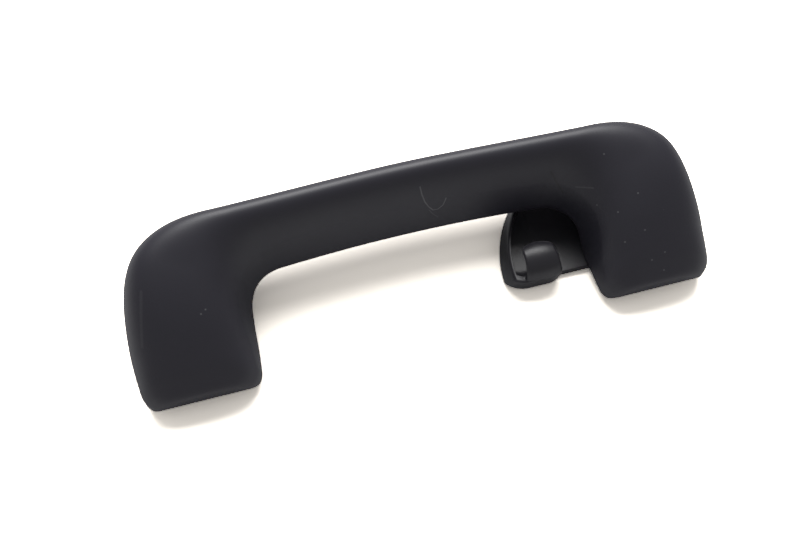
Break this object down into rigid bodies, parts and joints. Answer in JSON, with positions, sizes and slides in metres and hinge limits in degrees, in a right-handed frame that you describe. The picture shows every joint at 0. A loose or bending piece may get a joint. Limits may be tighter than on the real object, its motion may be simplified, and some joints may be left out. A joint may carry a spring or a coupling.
{
  "type": "roof grab handle",
  "caption": "Fold-down roof grab handle: dark soft-touch bow on hinged bearing brackets, with a return spring, a rotary damper and a coat hook beside one leg.",
  "frame": {"origin": "on the roof plane that the backs of both brackets rest on, in the middle of the handle's length and depth", "axes": "+X along the handle, from the plain leg to the leg with the coat hook; +Y from the feet of the legs to the bar; +Z away from the roof"},
  "size_m": [0.24, 0.0694, 0.0509],
  "materials": {
    "soft_touch": "soft-touch matte, dark blue-black",
    "satin_black": "satin moulded black",
    "steel": "drawn steel, plain",
    "spring_steel": "oiled spring wire",
    "bush_plastic": "natural bearing plastic",
    "damper_plastic": "moulded black",
    "rotor_plastic": "natural bearing plastic",
    "rubber": "matte black"
  },
  "bodies": {
    "brackets": {"hook_bracket": "satin_black", "left_bracket": "satin_black", "left_pin": "steel", "right_pin": "steel", "return_spring": "spring_steel", "damper_housing": "damper_plastic", "damper_lid": "damper_plastic", "damper_seal": "rubber", "left_sleeve": "steel", "right_sleeve": "steel", "left_cover": "satin_black", "right_cover": "satin_black", "left_buffer": "rubber", "right_buffer": "rubber"},
    "handle": {"grip": "soft_touch", "left_outer_bush": "bush_plastic", "left_inner_bush": "bush_plastic", "right_outer_bush": "bush_plastic", "right_inner_bush": "bush_plastic", "damper_rotor": "rotor_plastic"}
  },
  "joints": [
    {"name": "handle_fold", "type": "hinge", "parent": "brackets", "child": "handle", "pos_m": [0, -0.02396, 0.011], "axis": [1, 0, 0], "range_deg": [0, 90], "stiffness_Nm_per_rad": 0.06, "springref_deg": -34.38, "deforming": ["return_spring"]}
  ]
}
